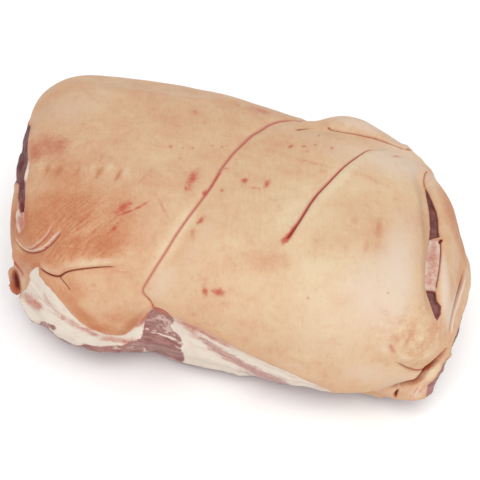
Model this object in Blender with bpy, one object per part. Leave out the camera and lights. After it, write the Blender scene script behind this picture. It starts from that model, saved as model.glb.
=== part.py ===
"""Raw pork picnic shoulder with its rind on, folded into a long pillow that lies on its cut side.

One solid: the meat, its fat and its rind are a single piece. Metres, +Z up, +X along the joint
towards its rolled end, -Y towards the side where fat and meat show under the rind. The origin is
under the middle of the joint, on the table.
"""

import math

import bmesh
import bpy
import numpy as np
from mathutils import Matrix, Vector, noise

# The pillow's own axis, and how far it reaches along it, left and right
AXIS_X = 0.005
AXIS_Y = -0.0165
LEFT_REACH = 0.143
RIGHT_REACH = 0.143
# The level where the section is widest, and how far the rounded underside would reach below it
WAIST_HEIGHT = 0.046
UNDERSIDE_DROP = 0.056
# Squareness of the outline and of the section: 2 is an ellipse, more is squarer
LEFT_SQUARENESS = 5.6
RIGHT_SQUARENESS = 3.4
TOP_SQUARENESS = 2.9
UNDERSIDE_SQUARENESS = 2.7
# How far each end leans back, as a share of the distance across the joint
LEFT_SLANT = 0.23
RIGHT_SLANT = 0.07
# Stations along the axis: half width in front, half width behind and rise above the waist
STATIONS = (-0.145, -0.100, -0.030, 0.020, 0.080, 0.150)
FRONT_HALF = (0.070, 0.088, 0.079, 0.082, 0.087, 0.090)
BACK_HALF = (0.123, 0.118, 0.114, 0.103, 0.094, 0.088)
TOP_RISE = (0.066, 0.067, 0.066, 0.064, 0.064, 0.062)

# Soft rolls under the rind, each a run of (centre, radius)
BACK_ROLL = (
    ((0.031, 0.048, 0.078), 0.016),
    ((0.062, 0.054, 0.084), 0.022),
    ((0.088, 0.050, 0.079), 0.020),
    ((0.107, 0.042, 0.074), 0.015),
)
END_ROLL = (
    ((0.115, 0.032, 0.066), 0.016),
    ((0.132, -0.004, 0.054), 0.020),
    ((0.133, -0.050, 0.041), 0.022),
    ((0.126, -0.070, 0.036), 0.020),
)
# Lumps, each (centre, radii): a knob on the back roll, the fat under the rolled corner,
# the flap at the cut end and the fat that sags under the front
LUMPS = (
    ((0.100, 0.055, 0.086), (0.010, 0.007, 0.007)),
    ((0.120, -0.071, 0.021), (0.027, 0.018, 0.018)),
    ((-0.125, -0.063, 0.036), (0.010, 0.008, 0.015)),
    ((-0.059, -0.075, 0.022), (0.034, 0.019, 0.019)),
)

# Grooves in the surface, each (route, depth, half width)
MAIN_CREASE = (
    ((0.033, 0.074, 0.088), (0.026, 0.054, 0.101), (0.011, 0.031, 0.108), (0.004, -0.004, 0.111),
     (-0.001, -0.041, 0.110), (-0.011, -0.072, 0.101), (-0.025, -0.089, 0.081), (-0.029, -0.091, 0.074)),
    0.0018, 0.0056)
CREASE_FOOT = (((-0.029, -0.091, 0.074), (-0.023, -0.093, 0.066)), 0.0020, 0.0050)
KNIFE_SLIT = (
    ((0.097, 0.046, 0.097), (0.083, 0.042, 0.101), (0.065, 0.004, 0.109), (0.054, -0.025, 0.109),
     (0.045, -0.056, 0.107)),
    0.0020, 0.0050)
BACK_FOLD = (
    ((0.028, 0.040, 0.106), (0.043, 0.048, 0.103), (0.058, 0.048, 0.104), (0.078, 0.048, 0.104),
     (0.098, 0.048, 0.098)),
    0.0034, 0.0060)
END_CREVICE = (
    ((0.112, 0.040, 0.090), (0.118, 0.025, 0.096), (0.124, 0.005, 0.097), (0.130, -0.020, 0.094),
     (0.132, -0.044, 0.091), (0.136, -0.062, 0.082), (0.138, -0.071, 0.070)),
    0.0090, 0.0085)
OUTER_FOLD = (((0.149, -0.008, 0.063), (0.148, -0.034, 0.066), (0.143, -0.066, 0.060)), 0.0030, 0.0050)
CORNER_FOLD = (
    ((0.146, -0.056, 0.042), (0.141, -0.072, 0.041), (0.130, -0.083, 0.044), (0.116, -0.089, 0.056)),
    0.0060, 0.0055)
CORNER_WRINKLE = (((0.132, -0.080, 0.038), (0.122, -0.087, 0.031), (0.100, -0.092, 0.026)), 0.0030, 0.0050)
CUT_END_CREVICE = (
    ((-0.160, 0.048, 0.086), (-0.146, 0.016, 0.091), (-0.136, -0.015, 0.092), (-0.126, -0.048, 0.090),
     (-0.119, -0.072, 0.080)),
    0.0060, 0.0090)
CHIN_FOLD = (
    ((-0.119, -0.070, 0.080), (-0.108, -0.081, 0.083), (-0.098, -0.086, 0.088), (-0.089, -0.084, 0.096),
     (-0.081, -0.074, 0.103)),
    0.0036, 0.0050)
CORNER_CREASE = (
    ((-0.094, -0.091, 0.083), (-0.079, -0.096, 0.084), (-0.062, -0.092, 0.090), (-0.047, -0.087, 0.091)),
    0.0030, 0.0050)
SHORT_CREASE = (((-0.079, -0.096, 0.084), (-0.071, -0.100, 0.077)), 0.0020, 0.0040)
FLAP_FOLD = (((-0.101, -0.090, 0.074), (-0.110, -0.083, 0.068), (-0.119, -0.073, 0.062)), 0.0030, 0.0050)
GROOVES = (
    MAIN_CREASE, CREASE_FOOT, KNIFE_SLIT, BACK_FOLD, END_CREVICE, OUTER_FOLD, CORNER_FOLD,
    CORNER_WRINKLE, CUT_END_CREVICE, CHIN_FOLD, CORNER_CREASE, SHORT_CREASE, FLAP_FOLD,
)
# The share of a groove's length over which each of its ends runs out, and the depth left at the tip
GROOVE_RUN_OUT = 0.16
GROOVE_TIP = 0.15

# The rind's lower edge round the joint: (heading in degrees from +X, height)
RIND_EDGE = (
    (-180, 0.050), (-155, 0.060), (-141, 0.074), (-137, 0.080), (-131, 0.066), (-124, 0.048),
    (-117, 0.041), (-111, 0.053), (-106, 0.066), (-97, 0.061), (-82, 0.052), (-66, 0.043),
    (-56, 0.035), (-45, 0.024), (-30, 0.031), (-5, 0.037), (25, 0.027), (55, 0.034), (85, 0.024),
    (118, 0.036), (145, 0.031), (165, 0.044), (180, 0.050),
)
RIND_STEP = 0.0024
RIND_STEP_BAND = 0.0030
# The bare meat in the notch of the rind: centre, reach and depth
NOTCH_CENTRE = (-0.020, -0.093, 0.048)
NOTCH_REACH = 0.020
NOTCH_DEPTH = 0.0030
# Unevenness of the whole, and of the fat and meat below the rind: (wave length, height)
SAG = (0.070, 0.0016)
FLESH_LUMPS = (0.022, 0.0018)

# How the joint looks: the colour of its rind and how matt it is
RIND_COLOUR = (0.76, 0.49, 0.32, 1)
RIND_ROUGHNESS = 0.5

# How finely the forms are made, fused, softened and thinned out
LENGTH_STEPS = 72
ROUND_STEPS = 72
ROUTE_STEPS = 8
ROLL_DETAIL = 6
LUMP_DETAIL = 4
FUSE_VOXEL = 0.0018
SOFTEN_SHARE = 0.5
FUSE_SMOOTHING = 14
LAST_SMOOTHING = 3
MOST_TRIANGLES = 10800
# Points this close to the table are put on it
SLIVER = 0.0004


def clear_scene():
    for obj in list(bpy.data.objects):
        bpy.data.objects.remove(obj)


def smooth_curve(xs, ys, x):
    """A smooth curve through the values ys at xs, read at x."""
    xs, ys = np.array(xs, float), np.array(ys, float)
    slopes = np.gradient(ys, xs)
    i = np.clip(np.searchsorted(xs, x) - 1, 0, len(xs) - 2)
    gap = xs[i + 1] - xs[i]
    t = np.clip((x - xs[i]) / gap, 0, 1)
    ease = t * t * (3 - 2 * t)
    leave = t * (1 - t) ** 2 * gap
    arrive = -t * t * (1 - t) * gap
    return ys[i] * (1 - ease) + ys[i + 1] * ease + slopes[i] * leave + slopes[i + 1] * arrive


def squared(value, squareness):
    return np.sign(value) * np.abs(value) ** (2 / squareness)


def pillow():
    """The main mass: a squared oval lofted along its axis, closed at both ends."""
    steps = np.linspace(-math.pi / 2, math.pi / 2, LENGTH_STEPS)
    turns = np.linspace(0, 2 * math.pi, ROUND_STEPS, endpoint=False)
    s, turn = np.meshgrid(np.sin(steps), turns, indexing="ij")
    end_square = np.where(s < 0, LEFT_SQUARENESS, RIGHT_SQUARENESS)
    shrink = np.maximum(0, 1 - np.abs(s) ** end_square) ** (1 / end_square)
    x = np.where(s < 0, LEFT_REACH, RIGHT_REACH) * s
    square = np.where(np.sin(turn) > 0, TOP_SQUARENESS, UNDERSIDE_SQUARENESS)
    across, up = squared(np.cos(turn), square), squared(np.sin(turn), square)
    front, back = smooth_curve(STATIONS, FRONT_HALF, x), smooth_curve(STATIONS, BACK_HALF, x)
    rise = np.where(up > 0, smooth_curve(STATIONS, TOP_RISE, x), UNDERSIDE_DROP)
    y = np.where(across < 0, front, back) * shrink * across
    z = WAIST_HEIGHT + rise * shrink * up
    x = x - np.where(s < 0, LEFT_SLANT, RIGHT_SLANT) * y * s**2
    rings = np.stack([x + AXIS_X, y + AXIS_Y, z], -1)
    bm = bmesh.new()
    loops = [[bm.verts.new(p) for p in ring] for ring in rings[1:-1]]
    for near, far in zip(loops, loops[1:]):
        for k in range(ROUND_STEPS):
            j = (k + 1) % ROUND_STEPS
            bm.faces.new((near[k], near[j], far[j], far[k]))
    for ring, loop in ((rings[0], loops[0][::-1]), (rings[-1], loops[-1])):
        tip = bm.verts.new(ring[0])
        for k in range(ROUND_STEPS):
            bm.faces.new((loop[k], loop[(k + 1) % ROUND_STEPS], tip))
    return bm


def add_roll(name, run):
    """A thick soft curve through the run's centres, as wide at each as its radius."""
    curve = bpy.data.curves.new(name, "CURVE")
    curve.dimensions = "3D"
    curve.bevel_depth = 1.0
    curve.bevel_resolution = ROLL_DETAIL
    curve.use_fill_caps = True
    spline = curve.splines.new("BEZIER")
    spline.bezier_points.add(len(run) - 1)
    for point, (centre, radius) in zip(spline.bezier_points, run):
        point.co = centre
        point.radius = radius
        point.handle_left_type = point.handle_right_type = "AUTO"
    obj = bpy.data.objects.new(name, curve)
    bpy.context.scene.collection.objects.link(obj)
    return obj


def add_lump(name, centre, radii):
    bm = bmesh.new()
    place = Matrix.Translation(centre) @ Matrix.Diagonal((*radii, 1))
    bmesh.ops.create_icosphere(bm, subdivisions=LUMP_DETAIL, radius=1, matrix=place)
    return add_mesh(name, bm)


def add_mesh(name, bm):
    mesh = bpy.data.meshes.new(name)
    bm.to_mesh(mesh)
    bm.free()
    obj = bpy.data.objects.new(name, mesh)
    bpy.context.scene.collection.objects.link(obj)
    return obj


def evaluated(obj):
    """A new mesh of the object as its modifiers leave it."""
    bpy.context.view_layer.update()
    return bpy.data.meshes.new_from_object(obj.evaluated_get(bpy.context.evaluated_depsgraph_get()))


def settle(obj):
    """Applies the object's modifiers."""
    mesh = evaluated(obj)
    obj.modifiers.clear()
    obj.data = mesh


def soften(obj, times):
    smooth = obj.modifiers.new("soften", "SMOOTH")
    smooth.factor = SOFTEN_SHARE
    smooth.iterations = times
    settle(obj)


def fused(pieces):
    """All the pieces as one closed soft skin."""
    bm = bmesh.new()
    for piece in pieces:
        bm.from_mesh(evaluated(piece))
        bpy.data.objects.remove(piece)
    obj = add_mesh("picnic_shoulder", bm)
    remesh = obj.modifiers.new("fuse", "REMESH")
    remesh.mode = "VOXEL"
    remesh.voxel_size = FUSE_VOXEL
    settle(obj)
    soften(obj, FUSE_SMOOTHING)
    return obj


def bump(distance):
    """A soft hump: 1 at no distance, 0 from a distance of 1."""
    return np.clip(1 - distance**2, 0, 1) ** 2


def smooth_route(points):
    """The route's points joined by a smooth line, as many close points."""
    knots = range(len(points))
    t = np.linspace(0, len(points) - 1, (len(points) - 1) * ROUTE_STEPS + 1)
    return np.stack([smooth_curve(knots, [p[axis] for p in points], t) for axis in range(3)], -1)


def groove(places, route, depth, half_width):
    """How deep the groove is at each place."""
    line = smooth_route(route)
    nearest = np.full(len(places), np.inf)
    along = np.zeros(len(places))
    for k, (start, end) in enumerate(zip(line, line[1:])):
        run = end - start
        t = np.clip((places - start) @ run / (run @ run), 0, 1)
        distance = np.linalg.norm(places - start - t[:, None] * run, axis=1)
        closer = distance < nearest
        nearest[closer] = distance[closer]
        along[closer] = (k + t[closer]) / (len(line) - 1)
    run_out = np.clip(np.minimum(along, 1 - along) / GROOVE_RUN_OUT, GROOVE_TIP, 1)
    return depth * bump(nearest / half_width) * run_out


def lumps(places, wave, height):
    """Soft hills and hollows of the wave's length."""
    return np.array([noise.noise(Vector(place) / wave) for place in places]) * height


def model_surface(obj):
    """Presses the folds, the knife cuts and the rind's edge into the skin."""
    mesh = obj.data
    count = len(mesh.vertices)
    places, normals = np.empty(count * 3, np.float32), np.empty(count * 3, np.float32)
    mesh.vertices.foreach_get("co", places)
    mesh.vertices.foreach_get("normal", normals)
    places, normals = places.reshape(-1, 3).astype(float), normals.reshape(-1, 3).astype(float)
    offset = lumps(places, *SAG)
    for route, depth, half_width in GROOVES:
        offset -= groove(places, route, depth, half_width)
    heading = np.degrees(np.arctan2(places[:, 1], places[:, 0]))
    edge = smooth_curve(*zip(*RIND_EDGE), heading)
    bare = np.clip((edge - places[:, 2]) / RIND_STEP_BAND, 0, 1)
    offset -= bare * RIND_STEP
    offset += bare * lumps(places, *FLESH_LUMPS)
    from_notch = np.linalg.norm(places - NOTCH_CENTRE, axis=1) / NOTCH_REACH
    offset -= bare * NOTCH_DEPTH * bump(from_notch)
    places += normals * offset[:, None]
    mesh.vertices.foreach_set("co", places.astype(np.float32).ravel())
    mesh.update()
    soften(obj, LAST_SMOOTHING)


def thin_out(obj):
    """Keeps the triangles where the form needs them."""
    decimate = obj.modifiers.new("thin", "DECIMATE")
    decimate.ratio = MOST_TRIANGLES / (2 * len(obj.data.polygons))
    settle(obj)


def cut_flat(obj):
    """Cuts the underside flat at the table and closes it with one flat face."""
    bm = bmesh.new()
    bm.from_mesh(obj.data)
    for vert in bm.verts:
        if abs(vert.co.z) < SLIVER:
            vert.co.z = 0
    geometry = bm.verts[:] + bm.edges[:] + bm.faces[:]
    bmesh.ops.bisect_plane(bm, geom=geometry, plane_co=(0, 0, 0), plane_no=(0, 0, 1), clear_inner=True)
    rim = [edge for edge in bm.edges if edge.is_boundary]
    bmesh.ops.holes_fill(bm, edges=rim, sides=0)
    bmesh.ops.dissolve_degenerate(bm, edges=bm.edges[:], dist=SLIVER / 4)
    bmesh.ops.triangulate(bm, faces=bm.faces[:])
    bm.to_mesh(obj.data)
    bm.free()


def centre_on_table(obj):
    """Puts the middle of the joint's outline over the origin."""
    corners = [Vector(corner) for corner in obj.bound_box]
    middle = (corners[0] + corners[6]) / 2
    obj.data.transform(Matrix.Translation((-middle.x, -middle.y, 0)))


def rind_material():
    material = bpy.data.materials.new("raw_pork_rind")
    material.use_nodes = True
    shader = material.node_tree.nodes["Principled BSDF"]
    shader.inputs["Base Color"].default_value = RIND_COLOUR
    shader.inputs["Roughness"].default_value = RIND_ROUGHNESS
    shader.inputs["Metallic"].default_value = 0
    return material


def main():
    clear_scene()
    pieces = [add_mesh("pillow", pillow()), add_roll("back_roll", BACK_ROLL), add_roll("end_roll", END_ROLL)]
    for i, (centre, radii) in enumerate(LUMPS):
        pieces.append(add_lump(f"lump_{i}", centre, radii))
    joint = fused(pieces)
    model_surface(joint)
    thin_out(joint)
    cut_flat(joint)
    centre_on_table(joint)
    joint.data.materials.append(rind_material())
    joint.data.shade_smooth()


main()
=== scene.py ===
import math

import bpy
import numpy as np
from mathutils import Matrix, Vector, noise
from mathutils.bvhtree import BVHTree


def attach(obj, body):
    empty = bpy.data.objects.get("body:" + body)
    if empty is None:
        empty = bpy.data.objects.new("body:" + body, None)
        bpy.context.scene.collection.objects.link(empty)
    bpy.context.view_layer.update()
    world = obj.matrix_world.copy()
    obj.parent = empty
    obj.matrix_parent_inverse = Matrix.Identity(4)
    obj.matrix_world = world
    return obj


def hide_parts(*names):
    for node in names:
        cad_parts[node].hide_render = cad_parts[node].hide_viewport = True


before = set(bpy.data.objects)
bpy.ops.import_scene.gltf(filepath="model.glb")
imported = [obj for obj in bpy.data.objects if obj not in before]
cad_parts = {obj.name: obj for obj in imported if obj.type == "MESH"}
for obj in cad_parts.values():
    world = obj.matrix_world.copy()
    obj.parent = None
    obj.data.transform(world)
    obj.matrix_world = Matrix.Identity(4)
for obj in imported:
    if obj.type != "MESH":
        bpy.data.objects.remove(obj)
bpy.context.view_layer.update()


# The camera stands in front of the joint, a little to its right, and looks down on it from 45 degrees.
# Places that the photograph shows are named by their pixels in its frame of 480 x 480.
VIEW_TURN = math.radians(14)
VIEW_RISE = math.radians(45)
VIEW_DISTANCE = 0.72
AIM = Vector((0.008, -0.0125, 0.054))
LENS_MM = 85
SENSOR_MM = 36
PHOTO_PIXELS = 480

view_back = Vector((
    math.sin(VIEW_TURN) * math.cos(VIEW_RISE),
    -math.cos(VIEW_TURN) * math.cos(VIEW_RISE),
    math.sin(VIEW_RISE),
))
view_right = Vector((math.cos(VIEW_TURN), math.sin(VIEW_TURN), 0))
view_up = view_back.cross(view_right)
eye = AIM + view_back * VIEW_DISTANCE
bpy.ops.object.select_all(action="DESELECT")
bpy.ops.object.camera_add(location=eye)
camera = bpy.context.object
camera.name = "camera"
camera.data.lens = LENS_MM
camera.data.sensor_width = SENSOR_MM
camera.data.clip_start = 0.05
camera.rotation_euler = (-view_back).to_track_quat("-Z", "Y").to_euler()
bpy.context.scene.camera = camera
PIXELS_AT_ONE_METRE = PHOTO_PIXELS * LENS_MM / SENSOR_MM
METRES_PER_PIXEL = VIEW_DISTANCE / PIXELS_AT_ONE_METRE


# The joint itself: a raw pork shoulder, rind over white fat over lean meat, folded into one long
# pillow with its rind on the outside. Its skin is a finer copy of the CAD solid. Small lobes of skin
# and fat stand out at its ends. They are joined to it, and a remesh melts them all into one skin.
MM = 0.001
MERGE_DISTANCE = 0.01 * MM
SKIN_GRAIN = 2.1 * MM
SKIN_SMOOTHING = 9

bpy.ops.object.select_all(action="DESELECT")
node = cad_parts["picnic_shoulder"]
joint = node.copy()
joint.data = node.data.copy()
joint.name = "joint_of_pork"
joint.parent = None
bpy.context.scene.collection.objects.link(joint)
joint.select_set(True)
bpy.context.view_layer.objects.active = joint
bpy.ops.object.mode_set(mode="EDIT")
bpy.ops.mesh.select_all(action="SELECT")
bpy.ops.mesh.remove_doubles(threshold=MERGE_DISTANCE)
bpy.ops.object.mode_set(mode="OBJECT")


def skin_tree():
    return BVHTree.FromObject(joint, bpy.context.evaluated_depsgraph_get())


tree = skin_tree()


def on_skin(pixel):
    """Where a pixel of the photograph lands on the joint, or the nearest place on its outline."""
    across, up = pixel[0] - PHOTO_PIXELS / 2, PHOTO_PIXELS / 2 - pixel[1]
    ray = (view_right * across + view_up * up) / PIXELS_AT_ONE_METRE - view_back
    hit = tree.ray_cast(eye, ray.normalized())[0]
    if hit is None:
        depth = VIEW_DISTANCE
        for _ in range(4):
            hit = tree.find_nearest(eye + ray * depth)[0]
            depth = (eye - hit).dot(view_back)
    return hit


# Pixel, width and height in pixels, thickness in millimetres and turn in degrees of each lobe
LOBES = (
    ((15, 287), 10, 24, 7, 16),
    ((15.4, 257), 8, 19, 7, 13),
    ((404, 146), 14, 9, 6, -25),
    ((33, 300), 8, 7, 5, 0),
    ((38, 306), 8, 9, 5, 0),
    ((112, 349), 60, 12, 9, 0),
    ((416, 392), 28, 18, 10, 15),
    ((428.5, 390), 15, 20, 8, -30),
    ((434, 375), 14, 24, 14, -30),
)
for pixel, width, height, thickness, turn in LOBES:
    bpy.ops.object.select_all(action="DESELECT")
    bpy.ops.mesh.primitive_ico_sphere_add(subdivisions=3, radius=0.5)
    lobe = bpy.context.object
    spin = Matrix.Rotation(math.radians(turn), 3, view_back)
    across, up = spin @ view_right, spin @ view_up
    size = (width * METRES_PER_PIXEL, height * METRES_PER_PIXEL, thickness * MM)
    shape = Matrix((across * size[0], up * size[1], view_back * size[2])).transposed().to_4x4()
    lobe.data.transform(Matrix.Translation(on_skin(pixel)) @ shape)
    joint.select_set(True)
    bpy.context.view_layer.objects.active = joint
    bpy.ops.object.join()


def apply_modifier(kind, **settings):
    modifier = joint.modifiers.new(kind.lower(), kind)
    for name, value in settings.items():
        setattr(modifier, name, value)
    bpy.ops.object.modifier_apply(modifier=modifier.name)


apply_modifier("REMESH", mode="VOXEL", voxel_size=SKIN_GRAIN)
apply_modifier("SMOOTH", factor=0.5, iterations=SKIN_SMOOTHING)


def survey():
    """The skin's points, their normals and pixels, and how much each faces the camera."""
    points, outward = (np.empty(len(joint.data.vertices) * 3, np.float32) for _ in range(2))
    joint.data.vertices.foreach_get("co", points)
    joint.data.vertices.foreach_get("normal", outward)
    points, outward = points.reshape(-1, 3).astype(float), outward.reshape(-1, 3).astype(float)
    ray = points - np.array(eye)
    depth = -ray @ np.array(view_back)
    pixels = np.stack([ray @ np.array(view_right), -ray @ np.array(view_up)], 1) / depth[:, None]
    pixels = PHOTO_PIXELS / 2 + pixels * PIXELS_AT_ONE_METRE
    facing = -np.einsum("ij,ij->i", ray, outward) / np.linalg.norm(ray, axis=1)
    return points, outward, pixels, facing


def hump(distance):
    """1 at no distance, falling smoothly to 0 at a distance of 1."""
    return np.clip(1 - distance**2, 0, 1) ** 2


def ramp(value, low, high):
    """0 below low and 1 above high, with a smooth rise between."""
    t = np.clip((value - low) / (high - low), 0, 1)
    return t * t * (3 - 2 * t)


def to_route(points, route):
    """Each point's distance to a route, its nearest stretch and how far along that stretch it is."""
    nearest = np.full(len(points), np.inf)
    stretch = np.zeros(len(points), int)
    share = np.zeros(len(points))
    for k, (start, end) in enumerate(zip(route, route[1:])):
        run = end - start
        t = np.clip((points - start) @ run / (run @ run), 0, 1)
        distance = np.linalg.norm(points - start - t[:, None] * run, axis=1)
        closer = distance < nearest
        nearest[closer] = distance[closer]
        stretch[closer] = k
        share[closer] = t[closer]
    return nearest, stretch, share


# The solid's outline is drawn out or in a little to the real one: a route of pixels, then the pull to
# the right, the pull along the floor towards the camera, and its reach, all three in pixels
PULLS = (
    (((34, 98), (44, 88), (58, 81)), 1.5, 3.5, 20),
    (((90, 352), (104, 355), (112, 355)), 0, 4, 11),
    (((130, 351), (150, 350), (168, 356)), 0, -2, 12),
    (((27, 134), (20, 146), (17, 158), (15, 170)), -6, 0, 26),
    (((28, 100), (26, 114)), 3, 1, 18),
    (((24, 150), (22, 156)), -4, 0, 9),
    (((15, 170), (14, 180)), 4, 0, 10),
    (((27, 124), (26, 131)), 3.5, 0, 9),
    (((9, 264), (9, 268), (9, 273)), 5, 0, 8),
    (((12, 290), (15, 296)), -4, 0, 9),
    (((26, 300), (34, 318)), -8, 3, 15),
    (((172, 356), (205, 366), (240, 374)), 0, 8, 26),
    (((112, 78), (150, 82), (190, 88)), 0, 8, 34),
    (((446, 360), (441, 368), (438, 377)), 4, 0, 8),
    (((362, 398), (374, 399)), 0, 8, 18),
    (((422, 398), (430, 393)), 3, 4, 11),
    (((420, 163), (428, 170)), 4, -3, 14),
    (((474, 272), (473, 288)), 6, 0, 22),
    (((382, 122), (396, 132)), 0, 5, 18),
)
# Towards the camera along the floor, as far as looks like one metre down in the picture
nearer_on_floor = Vector((view_back.x, view_back.y, 0)).normalized() / math.sin(VIEW_RISE)
points = survey()[0]
for route, rightward, nearer, reach in PULLS:
    line = np.array([on_skin(pixel) for pixel in route])
    away = to_route(points, line)[0] / (reach * METRES_PER_PIXEL)
    move = (view_right * rightward + nearer_on_floor * nearer) * METRES_PER_PIXEL
    points += hump(away)[:, None] * np.array(move)
joint.data.vertices.foreach_set("co", points.astype(np.float32).ravel())
joint.data.update()

# The CAD solid's grooves are wide. Where the real fold is narrow they are smoothed out first.
SOFTENED = (
    ((36, 266), (50, 274), (60, 276), (76, 270), (118, 267)),
    ((59, 276), (71, 292)),
    ((296, 130), (328, 128), (365, 134), (400, 146)),
    ((422, 168), (419, 190), (420, 215), (422, 240), (420, 265), (422, 290), (430, 320)),
    ((11, 228), (24, 248), (42, 247), (64, 228)),
    ((426, 370), (415, 370), (399, 364)),
    ((28, 140), (26, 156), (24, 172), (22, 190)),
)
SOFTENED_REACH = 13
pixels, facing = survey()[2:]
worn = joint.vertex_groups.new(name="worn")
weights = np.zeros(len(pixels))
for route in SOFTENED:
    away = to_route(pixels, np.array(route, float))[0]
    weights = np.maximum(weights, hump(away / SOFTENED_REACH) * (facing > 0))
for index in np.flatnonzero(weights > 0.01):
    worn.add([int(index)], float(weights[index]), "REPLACE")
apply_modifier("SMOOTH", factor=0.7, iterations=24, vertex_group="worn")
joint.vertex_groups.clear()
tree = skin_tree()


def smooth_line(points, steps):
    """The points joined by a smooth line, as many close points."""
    points = np.array(points, float)
    slopes = np.gradient(points, axis=0)
    t = np.linspace(0, len(points) - 1, (len(points) - 1) * steps + 1)
    i = np.minimum(t.astype(int), len(points) - 2)
    f = (t - i)[:, None]
    ease = f * f * (3 - 2 * f)
    leave, arrive = f * (1 - f) ** 2, -f * f * (1 - f)
    return points[i] * (1 - ease) + points[i + 1] * ease + slopes[i] * leave + slopes[i + 1] * arrive


def skin_line(pixels, hidden=()):
    """A smooth line on the skin through pixels of the photograph, after points that it hides."""
    shown = [on_skin(pixel) for pixel in smooth_line(pixels, 4)]
    behind = [tree.find_nearest(Vector(point))[0] for point in hidden]
    return smooth_line(behind + shown[::2], 2) if hidden else np.array(shown)


# Every line on the skin, as the photograph shows it: the crease where the rind folds over itself, the
# knife slit, and the folds at the back, at both ends and at the near corners.
MAIN_CREASE = skin_line(
    [
        (297, 120), (284, 120.5), (271, 124), (260, 130.5), (251, 136), (243, 143.5), (234, 152.5),
        (227, 161), (221, 169), (216, 178), (210, 188), (202, 199), (192, 212), (184, 223), (174, 238),
        (165, 253), (156, 267), (148.5, 279.5), (143.8, 287.5), (142.8, 291.5), (144.5, 295.6),
        (149.5, 300.5), (153.5, 307.5),
    ],
    hidden=[
        (40 * MM, 88 * MM, 50 * MM), (38 * MM, 84 * MM, 68 * MM), (34 * MM, 75 * MM, 87 * MM),
        (29 * MM, 62 * MM, 99 * MM),
    ],
)
RIND_CUT = skin_line([(153, 307.5), (157.5, 308.5), (166, 312), (174, 319), (182, 323)])
KNIFE_SLIT = skin_line([
    (400, 151), (390, 150), (379, 149), (368, 150), (358.5, 155.5), (345, 166), (335, 175.5),
    (324, 187), (313.5, 199), (302.5, 216), (292, 232), (284, 241),
])
BACK_FOLD_START = skin_line([(296.5, 130.3), (300, 129.4), (304, 128.8), (312, 128), (322, 127.4)])
BACK_FOLD = skin_line([
    (328.5, 127), (331.5, 129.2), (341, 130.8), (353, 132.6), (365, 135.1), (376, 137.8), (388, 142),
    (399, 146), (408, 150),
])
Y_CREASE = skin_line([
    (38.5, 267), (44.5, 272), (51.5, 275.3), (59, 276.4), (65, 273), (73.5, 270.4), (89, 268.3),
    (103, 267), (117, 267),
])
Y_BRANCH = skin_line([(59, 276.4), (63.3, 281.5), (67.6, 286.6), (71.5, 292)])
CHIN_FOLD = skin_line([
    (14.8, 237.7), (17.3, 243.1), (21.2, 248.1), (26.2, 251.7), (31.6, 253), (37.5, 252), (43.4, 249.6),
    (49.4, 244.6), (55.3, 238.2), (60.2, 232.8), (63.7, 226.8),
])
CHIN_CRESCENT = skin_line([
    (23.7, 247.1), (29.6, 249.4), (33.6, 248.4), (38, 245.2), (43.4, 240.7), (49.4, 233.3),
    (52.3, 227.8), (54.3, 222),
])
CORNER_FOLD = skin_line([
    (453, 348.8), (448.2, 348.8), (444.2, 352.8), (438.3, 358.7), (432.4, 364.6), (426.5, 369.1),
    (424.5, 373), (420.5, 377.4), (415.6, 381.4), (408.7, 383.4), (399.8, 385.3), (392.9, 387.3),
    (385, 389.8), (376, 392.4),
])
CORNER_WRINKLE = skin_line([
    (425, 370), (420, 370.6), (415.6, 370.7), (406.7, 368.1), (399.8, 364.6), (391.9, 361.2),
])
CORNER_DENT = skin_line([(390, 343), (391, 347), (393, 351), (395.5, 355)])
CORNER_SLIT = skin_line([(395, 396.5), (395.6, 394.2), (397, 391), (399.6, 387)])
OUTER_FOLD = skin_line([
    (467, 262), (463, 275), (459.6, 288), (456.4, 300), (453.4, 312), (450.8, 324), (449.8, 336),
])
LEFT_FLAP_FOLD = skin_line([(13.4, 260), (15.2, 263.6), (18, 267.5), (21.3, 271.4), (23.8, 275.6)])
# FLAP_SHADE is a dark line of painted shade in the gap between the left flap and the joint
FLAP_SHADE = skin_line([(13.6, 270.5), (15.8, 276), (17.6, 282), (18.8, 288), (19.6, 295)])
TIP_FOLD = skin_line([(424.6, 188), (423.8, 181), (425, 174.5), (427.6, 170.8)])
ROLL_EDGE = skin_line([(440.7, 241), (440.7, 254.4), (438.9, 270), (437, 280), (435.6, 289.5)])
STROKES = (
    MAIN_CREASE, RIND_CUT, KNIFE_SLIT, BACK_FOLD_START, BACK_FOLD, Y_CREASE, Y_BRANCH, CHIN_FOLD,
    CHIN_CRESCENT, CORNER_FOLD, CORNER_WRINKLE, CORNER_DENT, CORNER_SLIT, OUTER_FOLD, LEFT_FLAP_FOLD,
    FLAP_SHADE, ROLL_EDGE, TIP_FOLD,
)

# Bare lean meat, fat within it and cut ends, as outlines of pixels
LEAN_NOTCH = [
    (152.6, 307.5), (156.7, 308.5), (161.3, 310.8), (166.8, 314.5), (172, 318.8), (173.5, 323.5),
    (169, 326.5), (172, 331), (178, 336), (181.6, 341.5), (182.2, 345.5), (180, 349), (181.6, 352.5),
    (183.6, 357), (184, 364), (166, 362), (150, 356), (141, 345), (141.5, 338), (142.9, 331),
    (145.2, 322), (150, 314),
]
LEAN_BAND = [
    (82, 345.5), (94, 347), (106, 347.6), (120, 346.6), (130, 344), (141, 340), (144, 352), (134, 364),
    (95, 366), (74, 352),
]
LEAN_LEAF = [
    (424.4, 186.5), (427.8, 191), (432.2, 201), (436.7, 211), (438.4, 219), (438.4, 228), (440, 237),
    (429.5, 238.8), (430, 228), (429.3, 216.5), (427.8, 205.5), (425.6, 194.5),
]
PINK_FAT = [
    (429.6, 238), (440.7, 240.5), (440.9, 254.4), (439, 270), (437.2, 280), (435.8, 290), (426, 289),
    (424.9, 283), (425.6, 270), (426.2, 263), (427.6, 250), (428.8, 243),
]
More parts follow.
